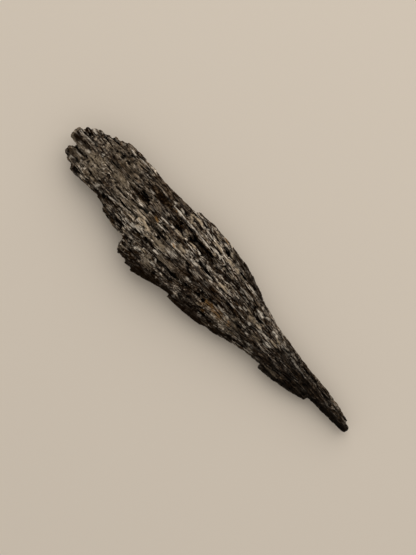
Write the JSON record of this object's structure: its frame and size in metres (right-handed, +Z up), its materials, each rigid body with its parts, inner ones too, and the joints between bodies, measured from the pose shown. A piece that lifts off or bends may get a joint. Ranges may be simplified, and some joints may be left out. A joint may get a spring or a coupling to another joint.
{
  "type": "black kyanite fan",
  "caption": "Natural spray of dark bladed crystals that fans out from a narrow root to a broken, stepped head, lying on its flat side.",
  "frame": {"origin": "on the surface that the fan lies on, under the middle of its outline seen from above", "axes": "+X along the fan from the narrow root to the broken head, +Y across the fan towards the rim with the large steps, +Z up from the surface that it lies on"},
  "size_m": [0.09, 0.0207, 0.0104],
  "materials": {
    "kyanite_fan": "black-brown bladed crystal with grey and tan streaks, dull with small silky glints"
  },
  "bodies": {
    "root": {"kyanite_fan": "kyanite_fan"}
  },
  "joints": []
}
